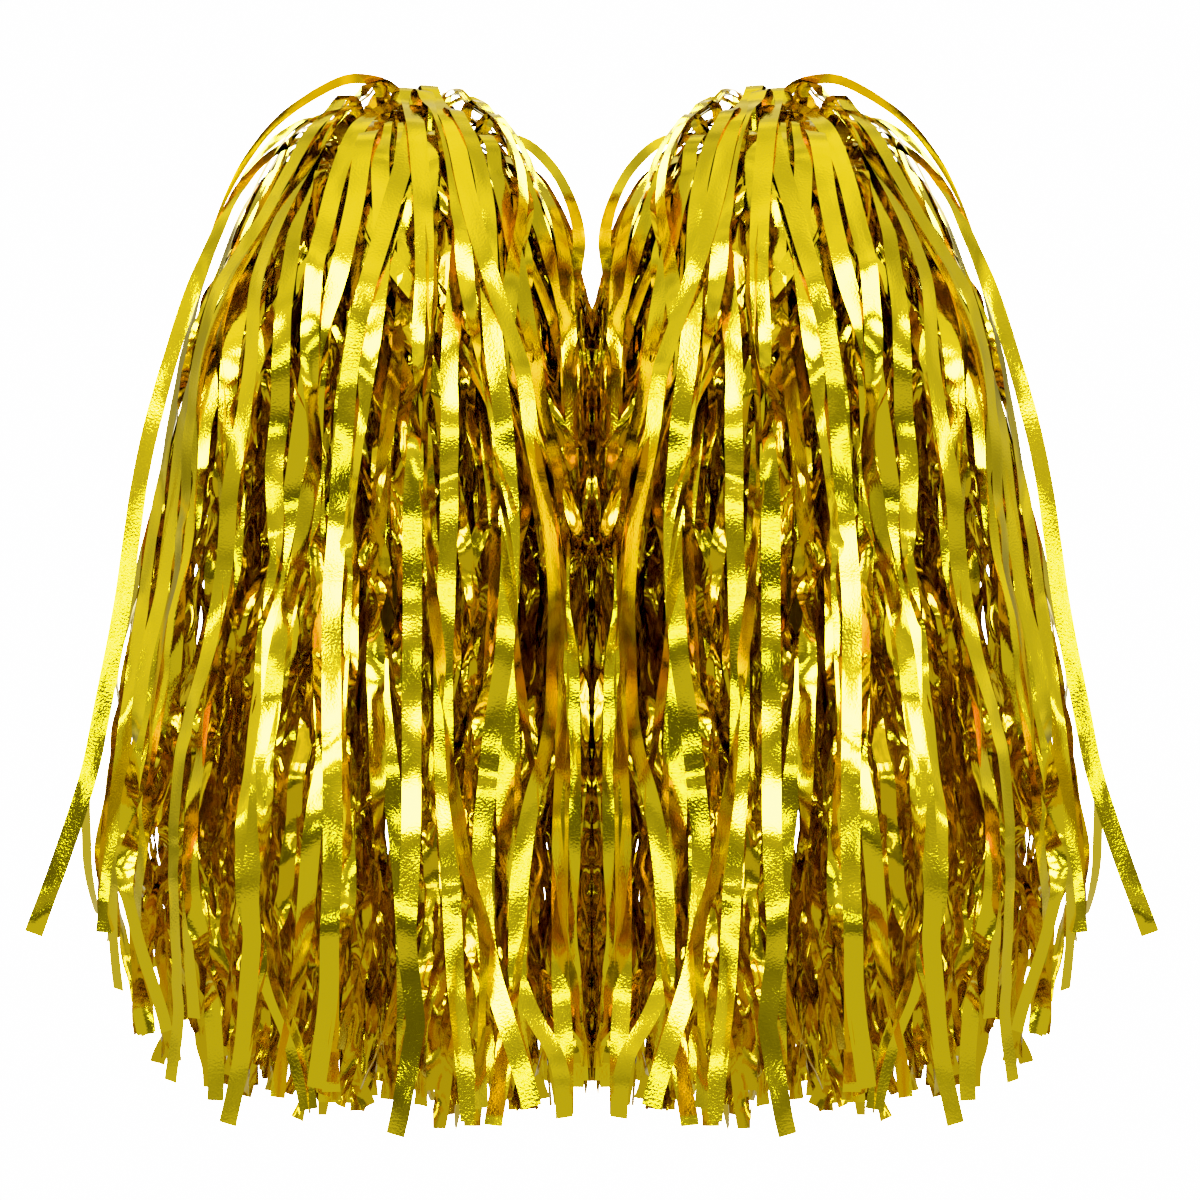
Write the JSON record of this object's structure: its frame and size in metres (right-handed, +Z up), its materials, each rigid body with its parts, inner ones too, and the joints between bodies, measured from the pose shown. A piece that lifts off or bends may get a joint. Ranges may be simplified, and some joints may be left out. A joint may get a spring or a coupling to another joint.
{
  "type": "cheer pom pom pair",
  "caption": "Pair of metallic gold foil cheer pom poms, each a stick handle with a fountain of long cut streamers tied to its upper end.",
  "frame": {"origin": "centre of the pair's bounding box, in the plane between the two pom poms", "axes": "+X from the left pom pom to the right one as seen from the front; +Z up, from the streamer ends to the crowns; +Y to the back, so the front faces -Y"},
  "size_m": [0.331, 0.209, 0.3429],
  "materials": {
    "foil": "metallised gold film, mirror-like with fine grain and creases",
    "handle": "smooth moulded plastic, satin gloss",
    "tape": "thin binding tape, semi-gloss",
    "tie": "natural nylon, satin"
  },
  "bodies": {
    "left_handle": {"left_grip_tube": "handle", "left_end_cap": "handle", "left_top_plug": "handle", "left_inner_header": "foil", "left_outer_header": "foil", "left_binding_tape": "tape", "left_lower_tie": "tie", "left_upper_tie": "tie", "left_streamer_crown": "foil", "left_streamers_inner": "foil"},
    "left_front_inner_streamers": {"left_streamers_front_inner": "foil"},
    "left_front_streamers": {"left_streamers_front": "foil"},
    "left_front_outer_streamers": {"left_streamers_front_outer": "foil"},
    "left_outer_streamers": {"left_streamers_outer": "foil"},
    "left_back_outer_streamers": {"left_streamers_back_outer": "foil"},
    "left_back_streamers": {"left_streamers_back": "foil"},
    "left_back_inner_streamers": {"left_streamers_back_inner": "foil"},
    "right_handle": {"right_grip_tube": "handle", "right_end_cap": "handle", "right_top_plug": "handle", "right_inner_header": "foil", "right_outer_header": "foil", "right_binding_tape": "tape", "right_lower_tie": "tie", "right_upper_tie": "tie", "right_streamer_crown": "foil", "right_streamers_inner": "foil"},
    "right_front_inner_streamers": {"right_streamers_front_inner": "foil"},
    "right_front_streamers": {"right_streamers_front": "foil"},
    "right_front_outer_streamers": {"right_streamers_front_outer": "foil"},
    "right_outer_streamers": {"right_streamers_outer": "foil"},
    "right_back_outer_streamers": {"right_streamers_back_outer": "foil"},
    "right_back_streamers": {"right_streamers_back": "foil"},
    "right_back_inner_streamers": {"right_streamers_back_inner": "foil"}
  },
  "joints": [
    {"name": "left_flare_front_inner", "type": "hinge", "parent": "left_handle", "child": "left_front_inner_streamers", "pos_m": [-0.061, -0.058, 0.131], "axis": [-1, 0, 0], "range_deg": [0, 55]},
    {"name": "left_flare", "type": "hinge", "parent": "left_handle", "child": "left_front_streamers", "pos_m": [-0.061, -0.058, 0.131], "axis": [-1, 0, 0], "range_deg": [0, 55]},
    {"name": "left_flare_front_outer", "type": "hinge", "parent": "left_handle", "child": "left_front_outer_streamers", "pos_m": [-0.10201, -0.04101, 0.131], "axis": [-0.7071, 0.7071, 0], "range_deg": [0, 55]},
    {"name": "left_flare_outer", "type": "hinge", "parent": "left_handle", "child": "left_outer_streamers", "pos_m": [-0.119, 0, 0.131], "axis": [0, 1, 0], "range_deg": [0, 55]},
    {"name": "left_flare_back_outer", "type": "hinge", "parent": "left_handle", "child": "left_back_outer_streamers", "pos_m": [-0.10201, 0.04101, 0.131], "axis": [0.7071, 0.7071, 0], "range_deg": [0, 55]},
    {"name": "left_flare_back", "type": "hinge", "parent": "left_handle", "child": "left_back_streamers", "pos_m": [-0.061, 0.058, 0.131], "axis": [1, 0, 0], "range_deg": [0, 55]},
    {"name": "left_flare_back_inner", "type": "hinge", "parent": "left_handle", "child": "left_back_inner_streamers", "pos_m": [-0.061, 0.058, 0.131], "axis": [1, 0, 0], "range_deg": [0, 55]},
    {"name": "right_flare_front_inner", "type": "hinge", "parent": "right_handle", "child": "right_front_inner_streamers", "pos_m": [0.061, -0.058, 0.131], "axis": [-1, 0, 0], "range_deg": [0, 55]},
    {"name": "right_flare", "type": "hinge", "parent": "right_handle", "child": "right_front_streamers", "pos_m": [0.061, -0.058, 0.131], "axis": [-1, 0, 0], "range_deg": [0, 55]},
    {"name": "right_flare_front_outer", "type": "hinge", "parent": "right_handle", "child": "right_front_outer_streamers", "pos_m": [0.10201, -0.04101, 0.131], "axis": [-0.7071, -0.7071, 0], "range_deg": [0, 55]},
    {"name": "right_flare_outer", "type": "hinge", "parent": "right_handle", "child": "right_outer_streamers", "pos_m": [0.119, 0, 0.131], "axis": [0, -1, 0], "range_deg": [0, 55]},
    {"name": "right_flare_back_outer", "type": "hinge", "parent": "right_handle", "child": "right_back_outer_streamers", "pos_m": [0.10201, 0.04101, 0.131], "axis": [0.7071, -0.7071, 0], "range_deg": [0, 55]},
    {"name": "right_flare_back", "type": "hinge", "parent": "right_handle", "child": "right_back_streamers", "pos_m": [0.061, 0.058, 0.131], "axis": [1, 0, 0], "range_deg": [0, 55]},
    {"name": "right_flare_back_inner", "type": "hinge", "parent": "right_handle", "child": "right_back_inner_streamers", "pos_m": [0.061, 0.058, 0.131], "axis": [1, 0, 0], "range_deg": [0, 55]},
    {"name": "right_pom_pom_slide", "type": "slide", "parent": "left_handle", "child": "right_handle", "axis": [1, 0, 0], "range_m": [0, 0.15]}
  ],
  "couplings": [
    {"joint": "left_flare_front_inner", "follows": "left_flare", "ratio": 1},
    {"joint": "left_flare_front_outer", "follows": "left_flare", "ratio": 1},
    {"joint": "left_flare_outer", "follows": "left_flare", "ratio": 1},
    {"joint": "left_flare_back_outer", "follows": "left_flare", "ratio": 1},
    {"joint": "left_flare_back", "follows": "left_flare", "ratio": 1},
    {"joint": "left_flare_back_inner", "follows": "left_flare", "ratio": 1},
    {"joint": "right_flare_front_inner", "follows": "right_flare", "ratio": 1},
    {"joint": "right_flare_front_outer", "follows": "right_flare", "ratio": 1},
    {"joint": "right_flare_outer", "follows": "right_flare", "ratio": 1},
    {"joint": "right_flare_back_outer", "follows": "right_flare", "ratio": 1},
    {"joint": "right_flare_back", "follows": "right_flare", "ratio": 1},
    {"joint": "right_flare_back_inner", "follows": "right_flare", "ratio": 1}
  ]
}
